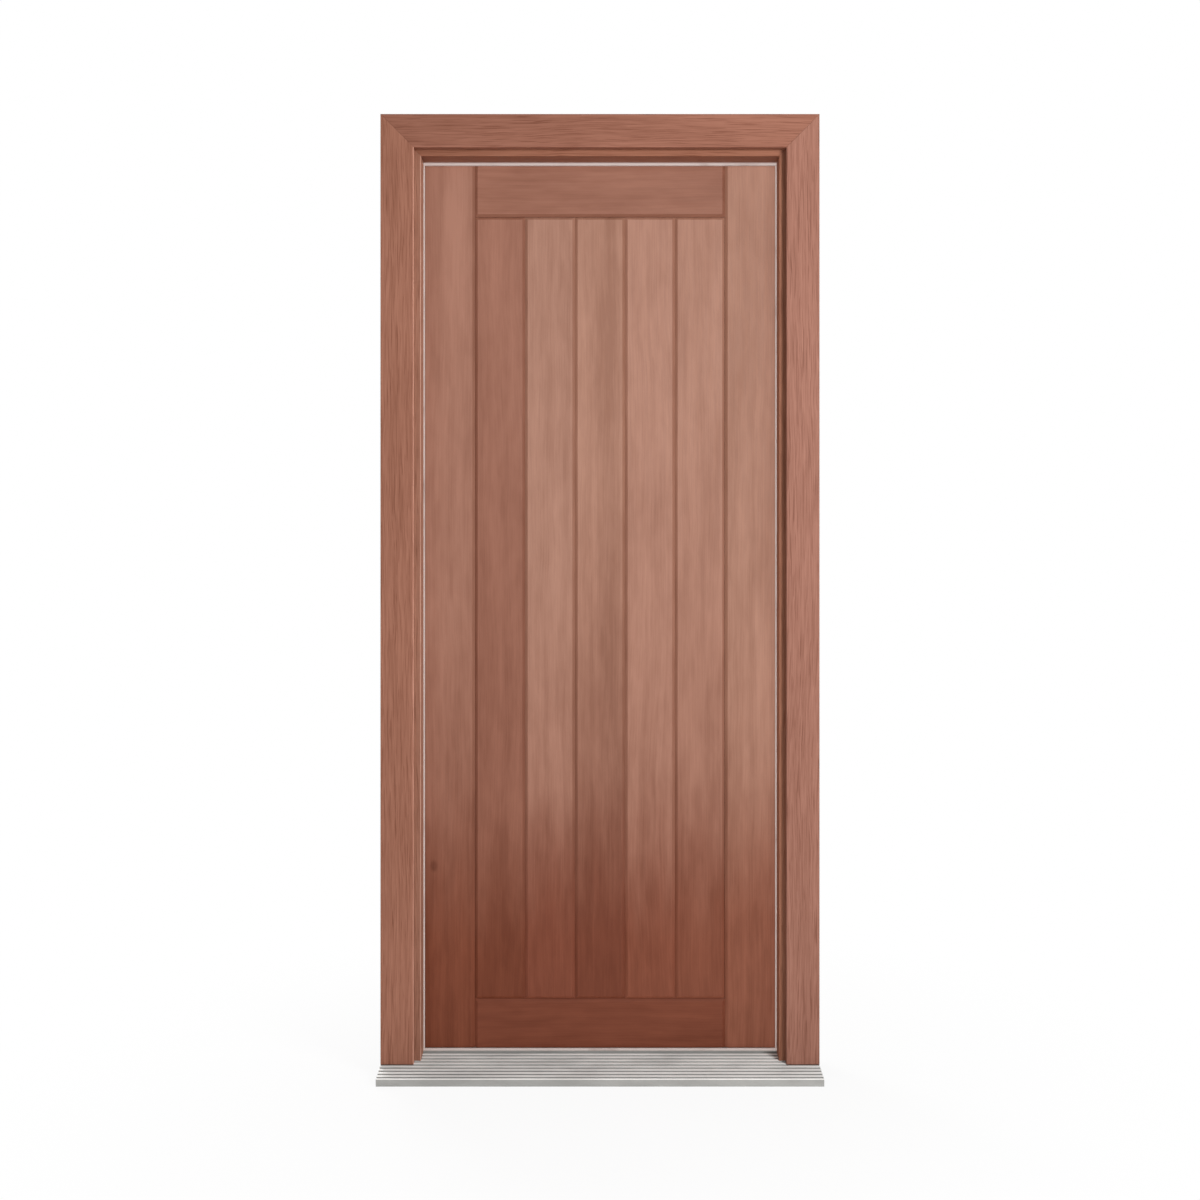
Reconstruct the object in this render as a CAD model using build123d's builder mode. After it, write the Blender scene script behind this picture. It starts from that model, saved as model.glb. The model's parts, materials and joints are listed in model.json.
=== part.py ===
from build123d import *
import os

os.makedirs("parts", exist_ok=True)

# Plank door: an inward opening leaf of stiles, rails and five planks, hung in a
# mitred hardwood frame on an aluminium threshold.
# Millimetres. X runs across the doorway, Y inward from the frame's outer face,
# Z up from the underside of the threshold.

# Leaf, a standard metric exterior size
leaf_width = 807
leaf_height = 2000
leaf_thick = 44
stile_width = 121
top_rail_height = 123
bottom_rail_height = 110
plank_count = 5
plank_set_back = 2  # plank faces lie below the stile and rail faces
v_width = 6  # each side of a V-joint
v_depth = 3.5
lock_bevel = 2.3  # the lock edge leans back to pass the rebate
tongue_thick = 12
tongue_length = 10
tongue_play = 0.2
tongue_end_play = 1
tenon_thick = 14
tenon_length = 70
tenon_shoulder = 25  # rail height left above and below each tenon

# Gaps and laps between leaf and frame
edge_gap = 5.5
head_gap = 8
stop_gap = 5
stop_lap = 6
floor_gap = 5.5

# Frame section
face_width = 73
lip_width = 14
step_depth = 17
stop_depth = 66
face_arris = 2.5
lip_arris = 2

# Weatherseal
seal_reach = 3
head_seal_reach = 7.5
seal_width = 6
seal_round = 1.5
barb_length = 5
barb_width = 2.8
kerf_play = 0.1
kerf_end_play = 1

# Threshold
nose_reach = 64
nose_height = 16
nose_round = 2.5
sill_height = 34.5
flute_count = 9
flute_width = 6
flute_depth = 2
land_width = 8
threshold_wall = 3
sill_seal_rise = 7
sill_barb_length = 3.5
sill_barb_width = 2.2

# Butt hinges
hinge_height = 100
flap_width = 35
flap_thick = 2.5
knuckle_radius = 6.5
knuckle_count = 5
knuckle_gap = 0.5
knuckle_clearance = 1
knuckle_standoff = 3  # knuckle's distance from the leaf's inside face
pin_radius = 3
pin_play = 0.05
pin_head_radius = 5
pin_head_height = 3
pin_head_round = 1.5
top_hinge_offset = 150
bottom_hinge_offset = 225

# Positions that follow from the sizes
leaf_half = leaf_width / 2
rebate_half = leaf_half + edge_gap
stop_half = leaf_half - stop_lap
outer_half = stop_half + lip_width + face_width
rebate_width = stop_lap + edge_gap
section_width = lip_width + face_width
leaf_front = stop_depth + stop_gap
leaf_back = leaf_front + leaf_thick
leaf_middle = (leaf_front + leaf_back) / 2
leaf_bottom = sill_height + floor_gap
leaf_top = leaf_bottom + leaf_height
soffit = leaf_top + head_gap - rebate_width
frame_top = soffit + section_width
frame_depth = leaf_back
plank_zone = leaf_half - stile_width
plank_width = 2 * plank_zone / plank_count
plank_bottom = leaf_bottom + bottom_rail_height
plank_top = leaf_top - top_rail_height
plank_front = leaf_front + plank_set_back
plank_back = leaf_back - plank_set_back
groove_thick = tongue_thick + 2 * tongue_play
groove_depth = tongue_length + tongue_end_play
seal_front = stop_depth - seal_width
seal_middle = stop_depth - seal_width / 2
slope = (sill_height - nose_height) / (nose_reach + seal_front)
kerf_width = barb_width + 2 * kerf_play
kerf_depth = barb_length + kerf_end_play
axis_x = -(leaf_half + rebate_half) / 2
axis_y = leaf_back + knuckle_standoff + knuckle_radius
knuckle_pitch = hinge_height / knuckle_count
rails = {
    "top_rail": (top_rail_height, leaf_top - top_rail_height / 2),
    "bottom_rail": (bottom_rail_height, leaf_bottom + bottom_rail_height / 2),
}
hinge_bases = {
    "lower": leaf_bottom + bottom_hinge_offset,
    "middle": (leaf_bottom + leaf_top - hinge_height) / 2,
    "upper": leaf_top - top_hinge_offset - hinge_height,
}


def slope_height(y):
    return nose_height + slope * (y + nose_reach)


def save(piece, node):
    piece.part.label = node
    export_step(piece.part, f"parts/{node}.step")


# Planes that carry a section whose first axis runs outward from the stop's edge
# and whose second axis runs inward from the frame's face.
right_plane = Plane(origin=(stop_half, 0, 0), x_dir=(1, 0, 0), z_dir=(0, 0, 1))
left_plane = Plane(origin=(-stop_half, 0, 0), x_dir=(-1, 0, 0), z_dir=(0, 0, -1))
head_plane = Plane(origin=(0, 0, soffit), x_dir=(0, 0, 1), z_dir=(-1, 0, 0))

# Plane whose first axis runs up and whose second runs inward
upright_plane = Plane(origin=(0, 0, 0), x_dir=(0, 0, 1), z_dir=(-1, 0, 0))

# Mitre planes at the two top corners, normals pointing to the head
right_mitre = Plane(origin=(stop_half, 0, soffit), x_dir=(0, 1, 0), z_dir=(-1, 0, 1))
left_mitre = Plane(origin=(-stop_half, 0, soffit), x_dir=(0, 1, 0), z_dir=(1, 0, 1))


def frame_section():
    with BuildSketch() as section:
        with BuildLine():
            Polyline(
                (lip_width, 0),
                (section_width, 0),
                (section_width, frame_depth),
                (rebate_width, frame_depth),
                (rebate_width, stop_depth),
                (0, stop_depth),
                (0, step_depth),
                (lip_width, step_depth),
                close=True,
            )
        make_face()
        fillet(section.vertices().group_by(Axis.Y)[0].sort_by(Axis.X)[0], radius=face_arris)
        fillet(section.vertices().group_by(Axis.X)[0].sort_by(Axis.Y)[0], radius=lip_arris)
        with Locations((0, seal_middle)):
            Rectangle(kerf_depth, kerf_width, align=(Align.MIN, Align.CENTER), mode=Mode.SUBTRACT)
    return section.sketch


def seal_section(reach):
    with BuildSketch() as section:
        with Locations((-reach, seal_front)):
            Rectangle(reach, seal_width, align=(Align.MIN, Align.MIN))
        fillet(section.vertices().group_by(Axis.X)[0], radius=seal_round)
        with Locations((0, seal_middle)):
            Rectangle(barb_length, barb_width, align=(Align.MIN, Align.CENTER))
    return section.sketch


# Outline of the threshold without its flutes, in Y and Z
def threshold_outline():
    with BuildSketch() as outline:
        with BuildLine():
            Polyline(
                (-nose_reach, 0),
                (-nose_reach, nose_height),
                (seal_front, sill_height),
                (frame_depth, sill_height),
                (frame_depth, 0),
                close=True,
            )
        make_face()
    return outline.sketch


# Threshold: hollow extrusion with a fluted slope, a flat sill and three chambers
nose_web = (seal_front - nose_reach) / 2
chamber_drop = flute_depth + threshold_wall
chambers = [
    (-nose_reach + threshold_wall, nose_web - threshold_wall / 2),
    (nose_web + threshold_wall / 2, seal_front),
]
with BuildPart() as threshold:
    with BuildSketch(Plane.YZ):
        add(threshold_outline())
    extrude(amount=outer_half, both=True)
    fillet(threshold.edges().filter_by(Axis.X).group_by(Axis.Y)[0].sort_by(Axis.Z)[-1], radius=nose_round)
    with BuildSketch(Plane.YZ):
        for index in range(flute_count):
            flute_y = -nose_reach + land_width / 2 + flute_width / 2 + index * (flute_width + land_width)
            with Locations((flute_y, slope_height(flute_y))):
                Rectangle(flute_width, 2 * flute_depth)
        for start, end in chambers:
            with BuildLine():
                Polyline(
                    (start, threshold_wall),
                    (end, threshold_wall),
                    (end, slope_height(end) - chamber_drop),
                    (start, slope_height(start) - chamber_drop),
                    close=True,
                )
            make_face()
        with Locations((stop_depth, threshold_wall)):
            Rectangle(
                leaf_thick + stop_gap - threshold_wall,
                sill_height - 2 * threshold_wall,
                align=(Align.MIN, Align.MIN),
            )
        with Locations((seal_middle, sill_height)):
            Rectangle(
                sill_barb_width + 2 * kerf_play,
                sill_barb_length + kerf_end_play,
                align=(Align.CENTER, Align.MAX),
            )
    extrude(amount=outer_half, both=True, mode=Mode.SUBTRACT)
save(threshold, "threshold")

# Threshold seal: stands on the sill in front of the leaf, between the two side seals
with BuildPart() as threshold_seal:
    with BuildSketch(Plane.YZ) as sill_bead:
        with Locations((seal_front, sill_height)):
            Rectangle(seal_width, sill_seal_rise, align=(Align.MIN, Align.MIN))
        fillet(sill_bead.vertices().group_by(Axis.Y)[-1], radius=seal_round)
        with Locations((seal_middle, sill_height)):
            Rectangle(sill_barb_width, sill_barb_length, align=(Align.CENTER, Align.MAX))
    extrude(amount=stop_half - seal_reach, both=True)
save(threshold_seal, "threshold_seal")


# Jambs: mitred to the head, feet scribed over the threshold
def shape_jamb(plane, direction, mitre):
    with BuildPart() as jamb:
        with BuildSketch(plane):
            add(frame_section())
        extrude(amount=direction * frame_top)
        split(bisect_by=mitre, keep=Keep.BOTTOM)
        with BuildSketch(Plane.YZ):
            add(threshold_outline())
        extrude(amount=outer_half, both=True, mode=Mode.SUBTRACT)
    return jamb


right_jamb = shape_jamb(right_plane, 1, right_mitre)
save(right_jamb, "right_jamb")

left_blank = shape_jamb(left_plane, -1, left_mitre)
with BuildPart() as left_jamb:
    add(left_blank.part)
    for base in hinge_bases.values():
        with Locations((-rebate_half, leaf_back, base)):
            Box(
                flap_thick,
                flap_width,
                hinge_height,
                align=(Align.MAX, Align.MAX, Align.MIN),
                mode=Mode.SUBTRACT,
            )
save(left_jamb, "left_jamb")

# Head: the same section, mitred at both ends
with BuildPart() as head:
    with BuildSketch(head_plane):
        add(frame_section())
    extrude(amount=outer_half, both=True)
    split(bisect_by=right_mitre, keep=Keep.TOP)
    split(bisect_by=left_mitre, keep=Keep.TOP)
save(head, "head")


# Side seals stand on the sill and butt under the deeper head seal
def shape_seal(plane, direction):
    with BuildPart() as seal:
        with BuildSketch(plane.offset(direction * sill_height)):
            add(seal_section(seal_reach))
        extrude(amount=direction * (soffit - head_seal_reach - sill_height))
    return seal


right_seal = shape_seal(right_plane, 1)
save(right_seal, "right_seal")

left_seal = shape_seal(left_plane, -1)
save(left_seal, "left_seal")

# Head seal: runs between the jambs
with BuildPart() as head_seal:
    with BuildSketch(head_plane):
        add(seal_section(head_seal_reach))
    extrude(amount=stop_half, both=True)
save(head_seal, "head_seal")


# Section of a stile or rail, from its bevelled inner edge to its outer one
def framing_section(inner, outer_front, outer_back):
    outward = 1 if outer_back > inner else -1
    with BuildSketch() as section:
        with BuildLine():
            Polyline(
                (outer_front, leaf_front),
                (inner + outward * v_width, leaf_front),
                (inner, leaf_front + v_depth),
                (inner, leaf_back - v_depth),
                (inner + outward * v_width, leaf_back),
                (outer_back, leaf_back),
                close=True,
            )
        make_face()
    return section.sketch


# Section of a board from one bevelled edge to the other
def board_section(start, end, front, back):
    with BuildSketch() as section:
        with BuildLine():
            Polyline(
                (start + v_width, front),
                (end - v_width, front),
                (end, front + v_depth),
                (end, back - v_depth),
                (end - v_width, back),
                (start + v_width, back),
                (start, back - v_depth),
                (start, front + v_depth),
                close=True,
            )
        make_face()
    return section.sketch


# Stiles: full height, bevelled inside, grooved for the planks and morticed for the rails
def shape_stile(side, bevel):
    inner = side * plank_zone
    with BuildPart() as stile:
        with BuildSketch(Plane.XY.offset(leaf_bottom)):
            add(framing_section(inner, side * (leaf_half - bevel), side * leaf_half))
        extrude(amount=leaf_height)
        with Locations((inner, leaf_middle, (plank_bottom + plank_top) / 2)):
            Box(2 * groove_depth, groove_thick, plank_top - plank_bottom, mode=Mode.SUBTRACT)
        for rail_height, rail_middle in rails.values():
            with Locations((inner, leaf_middle, rail_middle)):
                Box(
                    2 * (tenon_length + tongue_end_play),
                    tenon_thick + 2 * tongue_play,
                    rail_height - 2 * tenon_shoulder + 2 * tongue_play,
                    mode=Mode.SUBTRACT,
                )
    return stile


lock_stile = shape_stile(1, lock_bevel)
save(lock_stile, "lock_stile")

hinge_blank = shape_stile(-1, 0)
with BuildPart() as hinge_stile:
    add(hinge_blank.part)
    for base in hinge_bases.values():
        with Locations((-leaf_half, leaf_back, base)):
            Box(
                flap_thick,
                flap_width,
                hinge_height,
                align=(Align.MIN, Align.MAX, Align.MIN),
                mode=Mode.SUBTRACT,
            )
save(hinge_stile, "hinge_stile")

# Rails: tenoned into the stiles, bevelled at the shoulders and along the grooved edge that meets the planks
for node, (rail_height, rail_middle) in rails.items():
    inward = -1 if node == "top_rail" else 1
    inner = rail_middle + inward * rail_height / 2
    outer = rail_middle - inward * rail_height / 2
    with BuildPart() as rail:
        with BuildSketch(upright_plane):
            add(framing_section(inner, outer, outer))
        extrude(amount=plank_zone, both=True)
        with BuildSketch(Plane.XY.offset(rail_middle - rail_height / 2)):
            add(board_section(-plank_zone, plank_zone, leaf_front, leaf_back))
        extrude(amount=rail_height, mode=Mode.INTERSECT)
        with Locations((0, leaf_middle, inner)):
            Box(2 * plank_zone, groove_thick, 2 * groove_depth, mode=Mode.SUBTRACT)
        with Locations((0, leaf_middle, rail_middle)):
            Box(2 * (plank_zone + tenon_length), tenon_thick, rail_height - 2 * tenon_shoulder)
    save(rail, node)

# Planks: tongued and grooved together, bevelled all round, with end tongues in the rails
plank_length = plank_top - plank_bottom
for index in range(plank_count):
    left = -plank_zone + index * plank_width
    right = left + plank_width
    with BuildPart() as plank:
        with BuildSketch(Plane.XY.offset(plank_bottom)):
            add(board_section(left, right, plank_front, plank_back))
        extrude(amount=plank_length)
        with BuildSketch(upright_plane):
            add(board_section(plank_bottom, plank_top, plank_front, plank_back))
        extrude(amount=leaf_half, both=True, mode=Mode.INTERSECT)
        with Locations((right, leaf_middle, plank_bottom)):
            Box(tongue_length, tongue_thick, plank_length, align=(Align.MIN, Align.CENTER, Align.MIN))
        with Locations((left, leaf_middle, plank_bottom)):
            if index == 0:
                Box(tongue_length, tongue_thick, plank_length, align=(Align.MAX, Align.CENTER, Align.MIN))
            else:
                Box(
                    2 * groove_depth,
                    groove_thick,
                    plank_length,
                    align=(Align.CENTER, Align.CENTER, Align.MIN),
                    mode=Mode.SUBTRACT,
                )
        for end, away in ((plank_bottom, Align.MAX), (plank_top, Align.MIN)):
            with Locations((left, leaf_middle, end)):
                Box(plank_width, tongue_thick, tongue_length, align=(Align.MIN, Align.CENTER, away))
    save(plank, f"plank_{index + 1}")


# Hinge flaps: a plate let into the wood, its own knuckles, and room for the other flap's
def shape_flap(plate_x, base, first_knuckle):
    with BuildPart() as flap:
        with Locations((plate_x, leaf_back - flap_width, base)):
            Box(
                flap_thick,
                axis_y - leaf_back + flap_width,
                hinge_height,
                align=(Align.CENTER, Align.MIN, Align.MIN),
            )
        with Locations((axis_x, axis_y, base)):
            for index in range(knuckle_count):
                with Locations((0, 0, (index + 0.5) * knuckle_pitch)):
                    if index % 2 == first_knuckle:
                        Cylinder(knuckle_radius, knuckle_pitch - knuckle_gap)
                    else:
                        Cylinder(
                            knuckle_radius + knuckle_clearance,
                            knuckle_pitch + knuckle_gap,
                            mode=Mode.SUBTRACT,
                        )
            with Locations((0, 0, hinge_height / 2)):
                Cylinder(pin_radius + pin_play, hinge_height, mode=Mode.SUBTRACT)
    return flap


for place, base in hinge_bases.items():
    frame_flap = shape_flap(-rebate_half - flap_thick / 2, base, 0)
    save(frame_flap, f"{place}_hinge_frame_flap")
    door_flap = shape_flap(-leaf_half + flap_thick / 2, base, 1)
    save(door_flap, f"{place}_hinge_door_flap")
    with BuildPart() as pin:
        with Locations((axis_x, axis_y, base + hinge_height / 2)):
            Cylinder(pin_radius, hinge_height)
            with Locations((0, 0, -hinge_height / 2)):
                Cylinder(pin_head_radius, pin_head_height, align=(Align.CENTER, Align.CENTER, Align.MAX))
            with Locations((0, 0, hinge_height / 2)):
                Cylinder(pin_head_radius, pin_head_height, align=(Align.CENTER, Align.CENTER, Align.MIN))
        rims = pin.edges().filter_by(GeomType.CIRCLE).group_by(Axis.Z)
        fillet(rims[0] + rims[-1], radius=pin_head_round)
    save(pin, f"{place}_hinge_pin")
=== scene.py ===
import json
import math

import bmesh
import bpy
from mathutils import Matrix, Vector


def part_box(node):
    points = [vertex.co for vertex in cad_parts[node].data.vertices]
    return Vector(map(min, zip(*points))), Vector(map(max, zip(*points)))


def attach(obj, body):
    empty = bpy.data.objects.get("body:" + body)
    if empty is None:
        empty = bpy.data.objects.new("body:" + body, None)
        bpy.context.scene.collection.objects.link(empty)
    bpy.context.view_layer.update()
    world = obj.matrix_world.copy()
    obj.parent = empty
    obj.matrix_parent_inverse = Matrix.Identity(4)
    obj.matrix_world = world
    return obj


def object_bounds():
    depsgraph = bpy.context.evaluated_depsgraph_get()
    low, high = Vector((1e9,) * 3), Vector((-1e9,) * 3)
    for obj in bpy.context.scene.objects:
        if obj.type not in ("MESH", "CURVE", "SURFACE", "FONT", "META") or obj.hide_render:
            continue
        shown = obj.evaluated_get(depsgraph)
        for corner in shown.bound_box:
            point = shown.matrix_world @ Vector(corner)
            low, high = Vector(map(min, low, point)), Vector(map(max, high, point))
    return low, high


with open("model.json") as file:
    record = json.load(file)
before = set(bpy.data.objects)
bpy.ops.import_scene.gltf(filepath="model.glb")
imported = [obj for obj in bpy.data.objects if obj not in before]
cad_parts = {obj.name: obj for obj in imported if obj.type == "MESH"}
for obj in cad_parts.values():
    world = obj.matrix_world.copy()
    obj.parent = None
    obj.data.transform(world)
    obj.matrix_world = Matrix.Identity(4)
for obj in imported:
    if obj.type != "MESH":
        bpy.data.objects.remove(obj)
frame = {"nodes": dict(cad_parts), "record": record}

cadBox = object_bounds()
nodes = frame["nodes"]
scene = bpy.context.scene
print("loaded", len(nodes), "CAD nodes")


# small helpers for node trees

def addNode(tree, kind, **settings):
    node = tree.nodes.new(kind)
    for name, value in settings.items():
        setattr(node, name, value)
    return node


def feed(tree, socket, value):
    if isinstance(value, bpy.types.NodeSocket):
        tree.links.new(value, socket)
    else:
        socket.default_value = value


def work(tree, operation, first, second=0.0, third=0.0):
    node = addNode(tree, "ShaderNodeMath", operation=operation)
    for socket, value in zip(node.inputs, (first, second, third)):
        feed(tree, socket, value)
    return node.outputs[0]


def remap(tree, value, low, high, toLow=0.0, toHigh=1.0, shape="SMOOTHSTEP"):
    node = addNode(tree, "ShaderNodeMapRange", interpolation_type=shape)
    feed(tree, node.inputs["Value"], value)
    feed(tree, node.inputs["From Min"], low)
    feed(tree, node.inputs["From Max"], high)
    feed(tree, node.inputs["To Min"], toLow)
    feed(tree, node.inputs["To Max"], toHigh)
    return node.outputs["Result"]


def mixColour(tree, factor, first, second, blend="MIX"):
    node = addNode(tree, "ShaderNodeMix", data_type="RGBA", blend_type=blend)
    feed(tree, node.inputs["Factor"], factor)
    feed(tree, node.inputs["A"], first)
    feed(tree, node.inputs["B"], second)
    return node.outputs["Result"]


def vectorWork(tree, operation, *values):
    node = addNode(tree, "ShaderNodeVectorMath", operation=operation)
    for socket, value in zip(node.inputs, values):
        feed(tree, socket, value)
    return node.outputs["Value" if operation == "DOT_PRODUCT" else "Vector"]


def noise(tree, vector, stretch, detail=2.0):
    node = addNode(tree, "ShaderNodeTexNoise")
    feed(tree, node.inputs["Vector"], vectorWork(tree, "MULTIPLY", vector, stretch))
    feed(tree, node.inputs["Scale"], 1.0)
    feed(tree, node.inputs["Detail"], detail)
    return node.outputs["Fac"]


def join(tree, x=0.0, y=0.0, z=0.0):
    node = addNode(tree, "ShaderNodeCombineXYZ")
    for axis, value in zip("XYZ", (x, y, z)):
        feed(tree, node.inputs[axis], value)
    return node.outputs[0]


def parts(tree, vector):
    node = addNode(tree, "ShaderNodeSeparateXYZ")
    feed(tree, node.inputs[0], vector)
    return node.outputs["X"], node.outputs["Y"], node.outputs["Z"]


def objectPlace(tree):
    return addNode(tree, "ShaderNodeTexCoord").outputs["Object"]


def newGroup(name, inputs, outputs):
    tree = bpy.data.node_groups.new(name, "ShaderNodeTree")
    for label, kind in inputs:
        tree.interface.new_socket(label, in_out="INPUT", socket_type=kind)
    for label, kind in outputs:
        tree.interface.new_socket(label, in_out="OUTPUT", socket_type=kind)
    return tree, tree.nodes.new("NodeGroupInput").outputs, tree.nodes.new("NodeGroupOutput").inputs


def useGroup(tree, group, **values):
    node = addNode(tree, "ShaderNodeGroup", node_tree=group)
    for label, value in values.items():
        feed(tree, node.inputs[label], value)
    return node.outputs


def newMaterial(name):
    material = bpy.data.materials.new(name)
    material.use_nodes = True
    shader = material.node_tree.nodes["Principled BSDF"]
    return material, material.node_tree, shader


def addBump(tree, shader, height, bumpShape, normal):
    strength, distance = bumpShape
    bump = addNode(tree, "ShaderNodeBump")
    bump.inputs["Strength"].default_value = strength
    bump.inputs["Distance"].default_value = distance
    feed(tree, bump.inputs["Height"], height)
    feed(tree, bump.inputs["Normal"], normal)
    feed(tree, shader.inputs["Normal"], bump.outputs[0])


def dress(node, material):
    for slot in nodes[node].material_slots:
        slot.material = material


# grain along the third axis: broad bands, streaks, fine fibre, short pores, soft clouds and mottle
# each layer has its scale, detail, the range of noise that it takes, and whether it follows the sway

figure = {
    "seedShift": (3.1, 1.7, 5.3),
    "wanderScale": (1.5, 1.5, 1.3),
    "wanderReach": 0.045,
    "rippleScale": (9, 9, 8),
    "rippleReach": 0.008,
    "layers": {
        "Band": ((26, 26, 0.6), 2.0, 0.3, 0.7, True),
        "Streak": ((85, 85, 1.7), 2.0, 0.3, 0.7, True),
        "Fibre": ((380, 380, 9), 3.0, 0.32, 0.68, True),
        "Pore": ((560, 560, 12), 2.0, 0.55, 0.64, True),
        "Cloud": ((14, 14, 3.2), 3.0, 0.3, 0.7, False),
        "Mottle": ((55, 55, 14), 3.0, 0.3, 0.7, False),
    },
}


def makeBoardGrain(look):
    tree, given, put = newGroup(
        "boardGrain",
        [("Place", "NodeSocketVector"), ("Seed", "NodeSocketFloat")],
        [(label, "NodeSocketFloat") for label in look["layers"]],
    )
    shift = join(tree, *(work(tree, "MULTIPLY", given["Seed"], rate) for rate in look["seedShift"]))
    moved = vectorWork(tree, "ADD", given["Place"], shift)
    wander = noise(tree, moved, look["wanderScale"], 1.0)
    ripple = work(tree, "MULTIPLY", noise(tree, moved, look["rippleScale"], 1.0), look["rippleReach"])
    sway = work(tree, "MULTIPLY_ADD", wander, look["wanderReach"], ripple)
    along = vectorWork(tree, "ADD", moved, join(tree, sway))  # fibres drift sideways along the board
    for label, (scale, detail, low, high, sways) in look["layers"].items():
        layer = noise(tree, along if sways else moved, scale, detail)
        feed(tree, put[label], remap(tree, layer, low, high))
    return tree


# arris: softened normals, and masks along sharp edges, on rounds and bevels, and on bevels that look down

arrisShape = {
    "samples": 6,
    "edgeTurn": (0.995, 0.85),
    "roundLean": (0.04, 0.2),
    "underTurn": (-0.2, -0.6),
}


def makeArris(look):
    tree, given, put = newGroup(
        "arris",
        [("Radius", "NodeSocketFloat")],
        [("Edge", "NodeSocketFloat"), ("Round", "NodeSocketFloat"),
         ("Under", "NodeSocketFloat"), ("Normal", "NodeSocketVector")],
    )
    soft = addNode(tree, "ShaderNodeBevel", samples=look["samples"])
    feed(tree, soft.inputs["Radius"], given["Radius"])
    flat = addNode(tree, "ShaderNodeNewGeometry").outputs["True Normal"]
    turn = vectorWork(tree, "DOT_PRODUCT", soft.outputs[0], flat)
    _, facing, upward = parts(tree, addNode(tree, "ShaderNodeTexCoord").outputs["Normal"])
    facing = work(tree, "MULTIPLY", facing, facing)
    lean = work(tree, "MULTIPLY", facing, work(tree, "SUBTRACT", 1.0, facing))
    feed(tree, put["Edge"], remap(tree, turn, *look["edgeTurn"]))
    rounded = remap(tree, lean, *look["roundLean"])
    feed(tree, put["Round"], rounded)
    feed(tree, put["Under"], work(tree, "MULTIPLY", rounded, remap(tree, upward, *look["underTurn"])))
    feed(tree, put["Normal"], soft.outputs[0])
    return tree


boardGrain = makeBoardGrain(figure)
arris = makeArris(arrisShape)


def grainPlace(tree, direction):
    if direction == "up":
        return objectPlace(tree)
    x, y, z = parts(tree, objectPlace(tree))
    return join(tree, z, y, x)  # across: the board's length lies along X


def weigh(tree, grain, weights):
    total = 0.5
    for label, weight in weights.items():
        total = work(tree, "MULTIPLY_ADD", grain[label], weight, work(tree, "ADD", total, -weight / 2))
    return total


def tint(tree, base, tone, deep, bright):
    dark = mixColour(tree, 1.0, base, deep, "MULTIPLY")
    light = mixColour(tree, 1.0, base, bright, "MULTIPLY")
    return mixColour(tree, tone, dark, light)


def shadeBy(tree, mask, colour, factor):
    return mixColour(tree, mask, colour, mixColour(tree, 1.0, colour, factor, "MULTIPLY"))


# frame timber: open grained and stained, arrises paler, partly rubbed wear and partly painted highlight

frameTimber = {
    "deep": (0.74, 0.68, 0.64, 1),
    "bright": (1.2, 1.25, 1.28, 1),
    "weights": {"Band": 0.1, "Streak": 0.07, "Fibre": 0.42, "Cloud": 0.18, "Mottle": 0.12},
    "poreColour": (0.68, 0.6, 0.56, 1),
    "poreStrength": 0.8,
    "stopHalf": 0.3975,
    "soffit": 2.0365,
    "stepFront": (0.008, 0.0165),
    "stepBack": (0.064, 0.06),
    "stepSide": (0.022, 0.016),
    "sharp": (0.93, 0.9, 0.88, 1),
    "roughness": (0.48, 0.62),
    "gloss": 0.12,
    "arrisRadius": 0.002,
    "bump": (0.2, 0.0005),
    "boards": {
        "left_jamb": {
            "grain": "up", "seed": 1.3,
            "colour": (0.362, 0.155, 0.101, 1), "rubbed": (1.58, 1.92, 2.2, 1),
            "recess": (0.97, 1.07, 1.1, 1),
        },
        "right_jamb": {
            "grain": "up", "seed": 4.7,
            "colour": (0.336, 0.152, 0.108, 1), "rubbed": (1.2, 1.22, 1.24, 1),
            "recess": (1.11, 1.04, 0.88, 1),
        },
        "head": {
            "grain": "across", "seed": 7.9,
            "colour": (0.312, 0.13, 0.086, 1), "rubbed": (1.15, 1.16, 1.18, 1),
            "recess": (1.0, 0.98, 0.9, 1),
        },
    },
}


# where the step's lip and reveal take the painted light and shade tint
def recessLightingMask(tree, look):
    x, y, z = parts(tree, objectPlace(tree))
    side = work(tree, "SUBTRACT", work(tree, "ABSOLUTE", x), look["stopHalf"])
    outward = work(tree, "MAXIMUM", side, work(tree, "SUBTRACT", z, look["soffit"]))
    depth = work(tree, "MULTIPLY", remap(tree, y, *look["stepFront"]), remap(tree, y, *look["stepBack"]))
    return work(tree, "MULTIPLY", depth, remap(tree, outward, *look["stepSide"]))


def makeFrameTimber(name, board, look):
    material, tree, shader = newMaterial(name)
    grain = useGroup(tree, boardGrain, Place=grainPlace(tree, board["grain"]), Seed=board["seed"])
    edge = useGroup(tree, arris, Radius=look["arrisRadius"])
    tone = weigh(tree, grain, look["weights"])
    colour = tint(tree, board["colour"], tone, look["deep"], look["bright"])
    pores = work(tree, "MULTIPLY", grain["Pore"], look["poreStrength"])
    colour = shadeBy(tree, pores, colour, look["poreColour"])
    # painted shade: sharp edges and creases such as the mitres darkened
    colour = shadeBy(tree, edge["Edge"], colour, look["sharp"])
    # painted highlight with rubbed wear: arrises and rounds lightened, most on the left jamb
    colour = shadeBy(tree, edge["Round"], colour, board["rubbed"])
    colour = shadeBy(tree, recessLightingMask(tree, look), colour, board["recess"])  # painted light and shade: the step's lip and reveal tinted to the hue and level of their lighting
    feed(tree, shader.inputs["Base Color"], colour)
    feed(tree, shader.inputs["Roughness"], remap(tree, grain["Fibre"], 0, 1, *look["roughness"]))
    shader.inputs["Specular IOR Level"].default_value = look["gloss"]
    surface = work(tree, "SUBTRACT", grain["Fibre"], grain["Pore"])
    addBump(tree, shader, surface, look["bump"], edge["Normal"])
    return material


for node, board in frameTimber["boards"].items():
    dress(node, makeFrameTimber("frameTimber." + node, board, frameTimber))
print("frame timber done")


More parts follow.
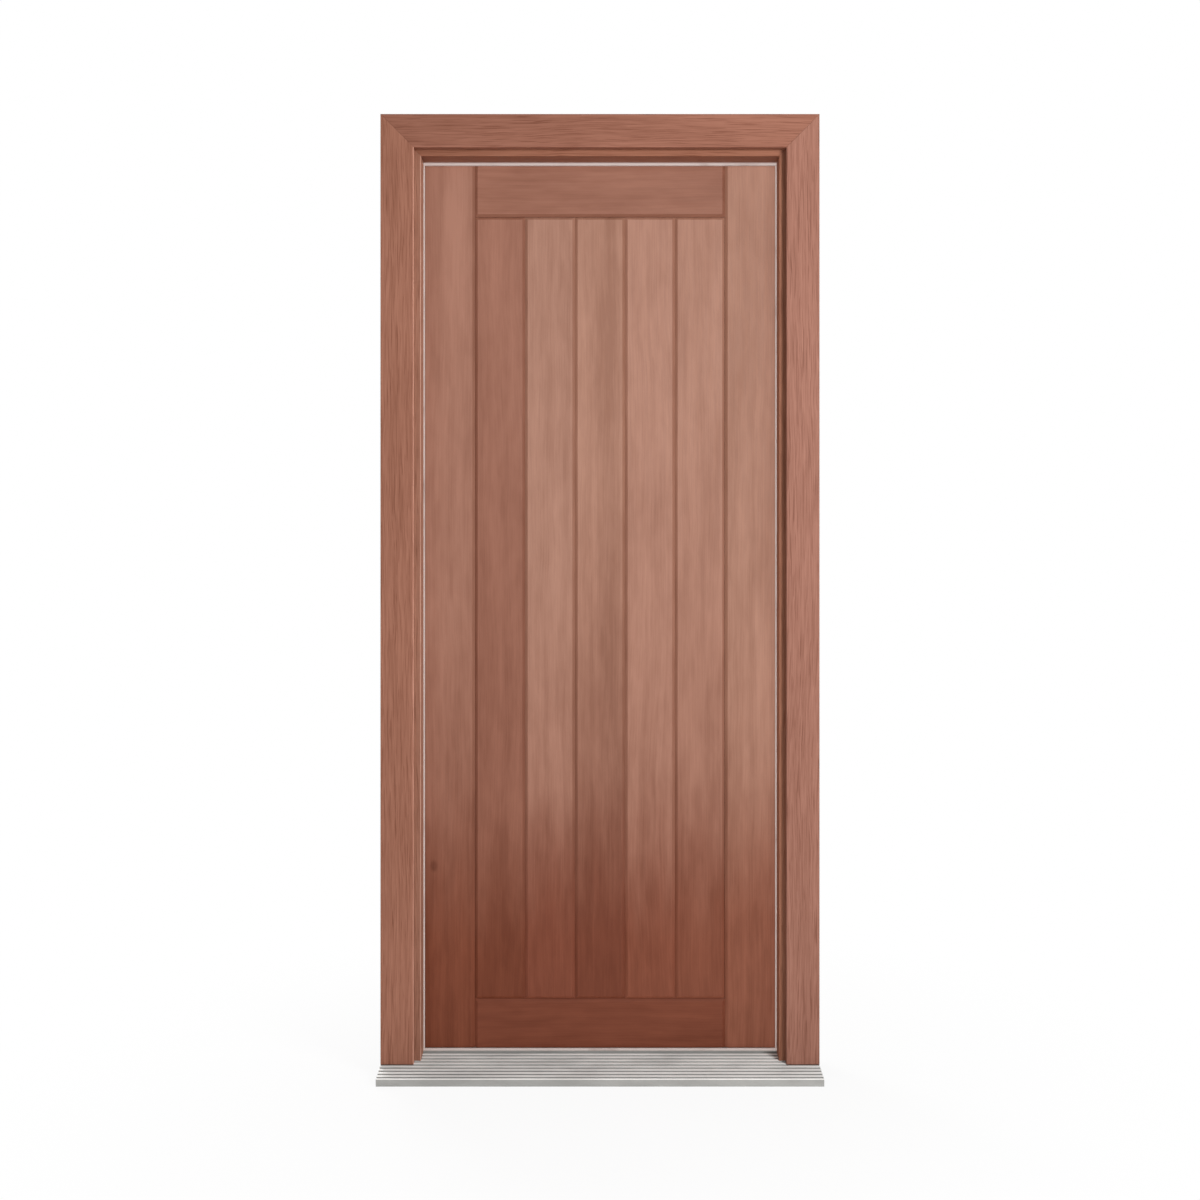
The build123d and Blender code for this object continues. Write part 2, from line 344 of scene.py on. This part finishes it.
# leaf timber: smooth boards with painted shade that deepens towards the foot
# start is the height where a board begins to darken, share is how much of it lies above the foot's own fall,
# and fall lifts or lowers the foot's fall on some boards
# marks are soft streaks: place across, half width, lowest and highest reach, strength
# knots: place across, height, radius

leafTimber = {
    "fallTop": 0.7,
    "fallFoot": 0.24,
    "slowFoot": 0.54,
    "ragged": 0.07,
    "deep": (0.78, 0.73, 0.7, 1),
    "bright": (1.15, 1.19, 1.21, 1),
    "weights": {"Band": 0.2, "Streak": 0.2, "Fibre": 0.22, "Cloud": 0.25, "Mottle": 0.22},
    "footGain": 0.3,
    "joint": (0.8, 0.74, 0.7, 1),
    "jointFoot": (0.98, 0.97, 0.96, 1),
    "jointFade": (0.45, 1.0),
    "underFoot": (1.3, 1.34, 1.36, 1),
    "markScale": (3, 3, 2.4),
    "markDrift": 0.03,
    "markEdges": (1.5, 0.2),
    "markEnds": (0.3, 0.1),
    "knot": (0.72, 0.67, 0.64, 1),
    "knotStretch": (1, 0, 0.6),
    "knotCore": 0.3,
    "roughness": (0.44, 0.56),
    "gloss": 0.12,
    "arrisRadius": 0.0012,
    "bump": (0.1, 0.0005),
    "boards": {
        "hinge_stile": {
            "grain": "up", "seed": 2.1, "start": 1.05, "share": 0.4,
            "top": (0.362, 0.17, 0.117, 1), "foot": (0.192, 0.055, 0.028, 1),
            "marks": [(-0.321, 0.026, 1.58, 2.2, 0.55)],
            "knots": [(-0.375, 0.45, 0.011)],
        },
        "plank_1": {
            "grain": "up", "seed": 3.4, "start": 1.65, "share": 0.42, "fall": -0.04,
            "top": (0.347, 0.154, 0.104, 1), "foot": (0.174, 0.048, 0.024, 1),
        },
        "plank_2": {
            "grain": "up", "seed": 5.2, "start": 1.15, "share": 0.42, "fall": 0.02,
            "top": (0.414, 0.212, 0.15, 1), "foot": (0.205, 0.06, 0.033, 1),
        },
        "plank_3": {
            "grain": "up", "seed": 6.6, "start": 1.35, "share": 0.56, "fall": 0.02,
            "top": (0.42, 0.214, 0.149, 1), "foot": (0.174, 0.049, 0.026, 1),
            "marks": [(0.02, 0.022, 0.5, 2.2, -0.42)],
        },
        "plank_4": {
            "grain": "up", "seed": 8.3, "start": 1.45, "share": 0.3,
            "top": (0.434, 0.22, 0.156, 1), "foot": (0.22, 0.067, 0.037, 1),
        },
        "plank_5": {
            "grain": "up", "seed": 9.5, "start": 1.5, "share": 0.42, "fall": 0.03,
            "top": (0.427, 0.216, 0.152, 1), "foot": (0.209, 0.065, 0.036, 1),
        },
        "lock_stile": {
            "grain": "up", "seed": 11.8, "start": 0.95, "share": 0.2, "fall": 0.06,
            "top": (0.407, 0.205, 0.142, 1), "foot": (0.25, 0.086, 0.05, 1),
            "marks": [
                (0.345, 0.05, 1.85, 2.3, 0.4),
                (0.37, 0.02, 0.1, 1.1, 0.3),
                (0.3, 0.016, 0.2, 0.8, -0.3),
            ],
        },
        "top_rail": {
            "grain": "across", "seed": 12.7, "start": 1.2, "share": 0.4,
            "top": (0.335, 0.147, 0.098, 1), "foot": (0.186, 0.053, 0.028, 1),
        },
        "bottom_rail": {
            "grain": "across", "seed": 14.1, "start": 1.2, "share": 0.4,
            "top": (0.335, 0.147, 0.098, 1), "foot": (0.186, 0.053, 0.028, 1),
        },
    },
}


def markMask(tree, place, mark, look):
    centre, half, low, high, strength = mark
    outer, inner = (half * share for share in look["markEdges"])
    rise, fade = look["markEnds"]
    x, _, z = parts(tree, place)
    wander = noise(tree, place, look["markScale"])
    drift = work(tree, "MULTIPLY_ADD", wander, look["markDrift"], -look["markDrift"] / 2 - centre)
    away = work(tree, "ABSOLUTE", work(tree, "ADD", x, drift))
    across = remap(tree, away, outer, inner)
    reach = work(tree, "MULTIPLY", remap(tree, z, low, low + rise), remap(tree, z, high, high - fade))
    return work(tree, "MULTIPLY", work(tree, "MULTIPLY", across, reach), strength)


def knotMask(tree, place, knot, look):
    across, up, radius = knot
    offset = vectorWork(tree, "SUBTRACT", place, (across, 0, up))
    x, _, z = parts(tree, vectorWork(tree, "MULTIPLY", offset, look["knotStretch"]))  # longer along the board
    away = work(tree, "SQRT", work(tree, "MULTIPLY_ADD", x, x, work(tree, "MULTIPLY", z, z)))
    return remap(tree, away, radius, radius * look["knotCore"])


# how deep the painted shade at the foot lies on a board
def footShadeDepth(tree, place, cloud, board, look):
    height = work(tree, "SUBTRACT", parts(tree, place)[2], look["ragged"] / 2)
    level = work(tree, "MULTIPLY_ADD", cloud, look["ragged"], height)
    slow = remap(tree, level, board["start"], look["slowFoot"], 0.0, board["share"], "LINEAR")
    lift = board.get("fall", 0)
    foot = look["fallFoot"] + lift
    fall = remap(tree, level, look["fallTop"] + lift, foot, 0.0, 1.0 - board["share"])
    return work(tree, "ADD", slow, fall)


def makeLeafTimber(name, board, look):
    material, tree, shader = newMaterial(name)
    place = objectPlace(tree)
    grain = useGroup(tree, boardGrain, Place=grainPlace(tree, board["grain"]), Seed=board["seed"])
    edge = useGroup(tree, arris, Radius=look["arrisRadius"])
    depth = footShadeDepth(tree, place, grain["Cloud"], board, look)
    # painted shade: the board's colour darkens from top towards foot
    base = mixColour(tree, depth, board["top"], board["foot"])
    tone = weigh(tree, grain, look["weights"])
    gain = work(tree, "MULTIPLY_ADD", depth, look["footGain"], 1.0)  # the grain shows more where the painted shade is deep
    tone = work(tree, "MULTIPLY_ADD", work(tree, "SUBTRACT", tone, 0.5), gain, 0.5)
    for mark in board.get("marks", []):
        tone = work(tree, "ADD", tone, markMask(tree, place, mark, look))
    colour = tint(tree, base, tone, look["deep"], look["bright"])
    for knot in board.get("knots", []):
        colour = shadeBy(tree, knotMask(tree, place, knot, look), colour, look["knot"])
    # stain gathers in the V-joints, and shows less where the boards are dark
    joint = mixColour(tree, remap(tree, depth, *look["jointFade"]), look["joint"], look["jointFoot"])
    colour = shadeBy(tree, edge["Round"], colour, joint)
    under = work(tree, "MULTIPLY", edge["Under"], depth)
    colour = shadeBy(tree, under, colour, look["underFoot"])  # painted light: bevels that look down are lightened towards the foot
    feed(tree, shader.inputs["Base Color"], colour)
    feed(tree, shader.inputs["Roughness"], remap(tree, grain["Fibre"], 0, 1, *look["roughness"]))
    shader.inputs["Specular IOR Level"].default_value = look["gloss"]
    addBump(tree, shader, grain["Fibre"], look["bump"], edge["Normal"])
    return material


for node, board in leafTimber["boards"].items():
    dress(node, makeLeafTimber("leafTimber." + node, board, leafTimber))
print("leaf timber done")


# threshold: aluminium with trodden lands, and dirt with painted shade in the flutes

threshold = {
    "dull": (0.44, 0.437, 0.417, 1),
    "worn": (0.775, 0.772, 0.757, 1),
    "dirt": (0.21, 0.21, 0.2, 1),
    "noseEdge": -0.064,
    "noseHeight": 0.016,
    "slopeEnd": 0.06,
    "sillHeight": 0.0345,
    "dieLines": (3, 900, 900),
    "cloudScale": (9, 30, 30),
    "landDepth": (0.0012, 0.0003),
    "landWear": (0.8, 1.0),
    "fluteDepth": (0.0005, 0.0016),
    "fluteStart": (0.0015, 0.003),
    "sealFoot": 0.06,
    "sweepFront": (-0.014, -0.006),
    "sweepBack": (0.002, 0.0005),
    "sweepStrength": 0.8,
    "dirtStrength": 0.85,
    "shade": (0.9, 1.06),
    "rubbed": (1.5, 1.49, 1.48, 1),
    "metallic": 0.05,
    "gloss": 0.15,
    "roughness": (0.55, 0.68),
    "arrisRadius": 0.0006,
    "bump": (0.12, 0.0002),
}


def makeThresholdMetal(name, look):
    material, tree, shader = newMaterial(name)
    place = objectPlace(tree)
    _, y, z = parts(tree, place)
    drawn = noise(tree, place, look["dieLines"])
    cloud = noise(tree, place, look["cloudScale"], 3.0)
    # sunk is the depth below the sloping crest of the lands
    slope = (look["sillHeight"] - look["noseHeight"]) / (look["slopeEnd"] - look["noseEdge"])
    crest = work(tree, "MULTIPLY_ADD", y, slope, look["noseHeight"] - slope * look["noseEdge"])
    sunk = work(tree, "SUBTRACT", work(tree, "MINIMUM", crest, look["sillHeight"]), z)
    behind = remap(tree, y, *(look["noseEdge"] + step for step in look["fluteStart"]))
    wear = remap(tree, cloud, 0.2, 0.6, *look["landWear"])
    trodden = work(tree, "MULTIPLY", remap(tree, sunk, *look["landDepth"]), wear)
    # dirt with painted shade in the flutes below the lands
    soiled = work(tree, "MULTIPLY", remap(tree, sunk, *look["fluteDepth"]), behind)
    # dirt with painted shade swept against the seal's foot
    front, back = ([look["sealFoot"] + step for step in look[side]] for side in ("sweepFront", "sweepBack"))
    sweptDirtAndShade = work(tree, "MULTIPLY", remap(tree, y, *front), remap(tree, y, *back))
    soiled = work(tree, "MAXIMUM", soiled, work(tree, "MULTIPLY", sweptDirtAndShade, look["sweepStrength"]))
    edge = useGroup(tree, arris, Radius=look["arrisRadius"])
    colour = mixColour(tree, trodden, look["dull"], look["worn"])
    colour = mixColour(tree, work(tree, "MULTIPLY", soiled, look["dirtStrength"]), colour, look["dirt"])
    # painted highlight with rubbed wear on the nosing and rounded arrises
    colour = shadeBy(tree, edge["Round"], colour, look["rubbed"])
    shade = remap(tree, cloud, 0.3, 0.7, *look["shade"])
    colour = mixColour(tree, 1.0, colour, join(tree, shade, shade, shade), "MULTIPLY")
    feed(tree, shader.inputs["Base Color"], colour)
    feed(tree, shader.inputs["Roughness"], remap(tree, drawn, 0.3, 0.7, *look["roughness"]))
    shader.inputs["Metallic"].default_value = look["metallic"]
    shader.inputs["Specular IOR Level"].default_value = look["gloss"]
    addBump(tree, shader, drawn, look["bump"], edge["Normal"])
    return material


# seal: pale flexible bead, a little soiled, with grime and painted shade at the sill, and painted shade where
# it tucks under the head

seal = {
    "colour": (0.62, 0.53, 0.5, 1),
    "soiled": (0.46, 0.36, 0.33, 1),
    "grime": (0.2, 0.19, 0.17, 1),
    "tucked": (0.3, 0.2, 0.175, 1),
    "soilScale": (14, 14, 14),
    "sillHeight": 0.0345,
    "grimeBand": (0.003, 0.001),
    "soffit": 2.0365,
    "tuckedBand": (-0.0028, -0.0016),
    "roughness": (0.6, 0.75),
    "arrisRadius": 0.0008,
    "bump": (0.1, 0.0003),
}


def makeSeal(name, look):
    material, tree, shader = newMaterial(name)
    place = objectPlace(tree)
    soil = noise(tree, place, look["soilScale"], 4.0)
    stained = mixColour(tree, remap(tree, soil, 0.5, 0.8), look["colour"], look["soiled"])
    height = parts(tree, place)[2]
    low = work(tree, "SUBTRACT", height, look["sillHeight"])
    high = work(tree, "SUBTRACT", height, look["soffit"])
    # grime with painted shade on the lowest millimetres above the sill
    stained = mixColour(tree, remap(tree, low, *look["grimeBand"]), stained, look["grime"])
    # painted shade: the seal darkens just below the soffit
    stained = mixColour(tree, remap(tree, high, *look["tuckedBand"]), stained, look["tucked"])
    feed(tree, shader.inputs["Base Color"], stained)
    feed(tree, shader.inputs["Roughness"], remap(tree, soil, 0.3, 0.7, *look["roughness"]))
    edge = useGroup(tree, arris, Radius=look["arrisRadius"])
    addBump(tree, shader, soil, look["bump"], edge["Normal"])
    return material


# hinges: satin steel, with four countersunk screws in each flap

hinge = {
    "colour": (0.58, 0.58, 0.59, 1),
    "dull": (0.44, 0.44, 0.45, 1),
    "brushScale": (1500, 1500, 40),
    "cloudScale": (40, 40, 40),
    "roughness": (0.28, 0.44),
    "arrisRadius": 0.0006,
    "bump": (0.05, 0.0002),
    "places": ("lower", "middle", "upper"),
    "sides": {"frame": {"body": "frame", "face": -0.409, "outward": 1},
              "door": {"body": "leaf", "face": -0.4035, "outward": -1}},
    "screwRows": (0.014, 0.038, 0.062, 0.086),
    "screwInset": (0.010, 0.023),
    "headRadius": 0.0042,
    "headRise": 0.0004,
    "rimShare": 0.93,
    "crossLength": 0.0026,
    "crossWidth": 0.0005,
    "crossDepth": 0.0009,
    "crossTaper": 0.7,
    "rimSteps": 24,
}


def makeHingeSteel(name, look):
    material, tree, shader = newMaterial(name)
    place = objectPlace(tree)
    brushed = noise(tree, place, look["brushScale"])
    cloud = noise(tree, place, look["cloudScale"], 3.0)
    feed(tree, shader.inputs["Base Color"], mixColour(tree, cloud, look["colour"], look["dull"]))
    feed(tree, shader.inputs["Roughness"], remap(tree, brushed, 0.3, 0.7, *look["roughness"]))
    shader.inputs["Metallic"].default_value = 1.0
    edge = useGroup(tree, arris, Radius=look["arrisRadius"])
    addBump(tree, shader, brushed, look["bump"], edge["Normal"])
    return material


def addScrewHead(shape, centre, outward, look):
    def spot(across, up, out):
        return shape.verts.new(centre + Vector((outward * out, across, up)))

    def loop(spots):
        return [shape.edges.new((a, b)) for a, b in zip(spots, spots[1:] + spots[:1])]

    def ringAt(radius, out):
        return [spot(math.cos(turn) * radius, math.sin(turn) * radius, out) for turn in turns]

    turns = [2 * math.pi * step / look["rimSteps"] for step in range(look["rimSteps"])]
    radius, rise, taper = look["headRadius"], look["headRise"], look["crossTaper"]
    foot = ringAt(radius, 0)
    rim = ringAt(radius * look["rimShare"], rise)
    for a, b, c, d in zip(foot, foot[1:] + foot[:1], rim[1:] + rim[:1], rim):
        shape.faces.new((a, b, c, d))
    long, wide = look["crossLength"], look["crossWidth"]
    outline = [(long, -wide), (long, wide), (wide, wide), (wide, long), (-wide, long), (-wide, wide),
               (-long, wide), (-long, -wide), (-wide, -wide), (-wide, -long), (wide, -long), (wide, -wide)]
    mouth = [spot(a, b, rise) for a, b in outline]
    floor = [spot(a * taper, b * taper, rise - look["crossDepth"]) for a, b in outline]
    ring = [shape.edges.get((a, b)) for a, b in zip(rim, rim[1:] + rim[:1])]
    bmesh.ops.triangle_fill(shape, use_beauty=True, edges=ring + loop(mouth))
    for a, b, c, d in zip(mouth, mouth[1:] + mouth[:1], floor[1:] + floor[:1], floor):
        shape.faces.new((a, b, c, d))
    shape.faces.new(floor)


def buildScrews(place, side, material, look):
    flap = f"{place}_hinge_{side}_flap"
    spec = look["sides"][side]
    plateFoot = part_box(flap)[0][2]
    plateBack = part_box("hinge_stile")[1][1]  # the plate ends flush with the leaf's inside face
    shape = bmesh.new()
    for step, row in enumerate(look["screwRows"]):
        inset = look["screwInset"][step % 2]
        addScrewHead(shape, Vector((spec["face"], plateBack - inset, plateFoot + row)), spec["outward"], look)
    bmesh.ops.recalc_face_normals(shape, faces=shape.faces)
    mesh = bpy.data.meshes.new(flap + "_screws")
    shape.to_mesh(mesh)
    shape.free()
    mesh.materials.append(material)
    screws = bpy.data.objects.new(flap + "_screws", mesh)
    scene.collection.objects.link(screws)
    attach(screws, spec["body"])


dress("threshold", makeThresholdMetal("trodAluminium", threshold))
paleSeal = makeSeal("paleSeal", seal)
hingeSteel = makeHingeSteel("hingeSteel", hinge)
for node in nodes:
    if node.endswith("_seal"):
        dress(node, paleSeal)
    if "_hinge_" in node:
        dress(node, hingeSteel)
for place in hinge["places"]:
    for side in hinge["sides"]:
        buildScrews(place, side, hingeSteel, hinge)
print("metal and seal done")


# stage: white floor and sky, soft key from the right, gentle lamps at the left, behind and above,
# and the camera straight in front at half height

studio = {
    "cameraPlace": (0, -3.0, 1.051),
    "frameWidth": 2.6484,
    "sensor": 36.0,
    "ambient": 0.32,
    "lamps": {
        "keyLight": {"place": (2.0, -2.4, 2.15), "size": 1.2, "power": 96, "leaf": "EXCLUDE"},
        "leafLight": {
            "place": (1.85, -5.7, 2.7), "size": 1.6, "power": 248, "leaf": "INCLUDE", "clear": True,
        },
        "openLight": {"place": (3.2, 0.6, 2.0), "size": 1.2, "power": 75, "leaf": "INCLUDE"},
        "leftLight": {"place": (-3.0, 0.6, 1.2), "size": 1.0, "power": 20},
        "backLight": {"place": (-1.7, 2.9, 2.1), "size": 1.4, "power": 80},
        "topLight": {"place": (0.3, 0.25, 4.4), "size": 1.4, "power": 32},
    },
    "aim": (0, 0, 1.1),
    "floorColour": (0.75, 0.75, 0.75, 1),
    "floorRoughness": 0.9,
    "floorHalf": 30,
    "floorDrop": 0.0005,
    "glowNear": 0.9,
    "glowStart": 0.4,
    "glowFull": 1.5,
}


def seenRay(tree):
    path = addNode(tree, "ShaderNodeLightPath").outputs
    seen = work(tree, "MAXIMUM", path["Is Camera Ray"], path["Is Glossy Ray"])
    return work(tree, "MAXIMUM", seen, path["Is Transmission Ray"])


def buildFloor():
    mesh = bpy.data.meshes.new("floor")
    shape = bmesh.new()
    bmesh.ops.create_grid(shape, x_segments=1, y_segments=1, size=studio["floorHalf"])
    shape.to_mesh(mesh)
    shape.free()
    floor = bpy.data.objects.new("floor", mesh)
    scene.collection.objects.link(floor)
    floor.location.z = cadBox[0].z - studio["floorDrop"]
    material, tree, shader = newMaterial("floorWhite")
    shader.inputs["Base Color"].default_value = studio["floorColour"]
    shader.inputs["Roughness"].default_value = studio["floorRoughness"]
    glow = addNode(tree, "ShaderNodeEmission")
    glow.inputs["Color"].default_value = (1, 1, 1, 1)
    glow.inputs["Strength"].default_value = 1.0
    x, y, _ = parts(tree, objectPlace(tree))
    away = work(tree, "SQRT", work(tree, "MULTIPLY_ADD", x, x, work(tree, "MULTIPLY", y, y)))
    share = remap(tree, away, studio["glowStart"], studio["glowFull"], studio["glowNear"], 1.0)
    blend = addNode(tree, "ShaderNodeMixShader")
    feed(tree, blend.inputs[0], work(tree, "MULTIPLY", seenRay(tree), share))
    feed(tree, blend.inputs[1], shader.outputs[0])
    feed(tree, blend.inputs[2], glow.outputs[0])
    feed(tree, tree.nodes["Material Output"].inputs["Surface"], blend.outputs[0])
    mesh.materials.append(material)


def buildSky():
    world = bpy.data.worlds.new("studioSky")
    world.use_nodes = True
    tree = world.node_tree
    sky = tree.nodes["Background"]
    sky.inputs["Color"].default_value = (1, 1, 1, 1)
    feed(tree, sky.inputs["Strength"], remap(tree, seenRay(tree), 0, 1, studio["ambient"], 1.0, "LINEAR"))
    scene.world = world


def gather(name, members, state):
    group = bpy.data.collections.new(name)
    for node in members:
        group.objects.link(nodes[node])
    for member in group.collection_objects:
        member.light_linking.link_state = state
    return group


# the leaf and its seals have lamps of their own; the deep frame doesn't shade a clear one
def shareLight(holder, lamp):
    leaf = frame["record"]["behaviour"]["bodies"]["leaf"]
    seals = [node for node in nodes if node.endswith("_seal")]
    holder.light_linking.receiver_collection = gather(holder.name + "Lit", leaf + seals, lamp["leaf"])
    if lamp.get("clear"):
        holder.light_linking.blocker_collection = gather(holder.name + "Shading", leaf, lamp["leaf"])


def addSoftbox(name, lamp):
    light = bpy.data.lights.new(name, "AREA")
    light.size = lamp["size"]
    light.energy = lamp["power"]
    holder = bpy.data.objects.new(name, light)
    scene.collection.objects.link(holder)
    holder.location = lamp["place"]
    holder.rotation_euler = (Vector(studio["aim"]) - holder.location).to_track_quat("-Z", "Y").to_euler()
    if "leaf" in lamp:
        shareLight(holder, lamp)


def addCamera():
    lens = bpy.data.cameras.new("photoCamera")
    lens.sensor_width = studio["sensor"]
    lens.lens = studio["sensor"] * -studio["cameraPlace"][1] / studio["frameWidth"]
    camera = bpy.data.objects.new("photoCamera", lens)
    scene.collection.objects.link(camera)
    camera.location = studio["cameraPlace"]
    camera.rotation_euler = (math.radians(90), 0, 0)
    scene.camera = camera


buildFloor()
buildSky()
for name, lamp in studio["lamps"].items():
    addSoftbox(name, lamp)
addCamera()
scene.view_settings.view_transform = "Standard"
print("stage done")
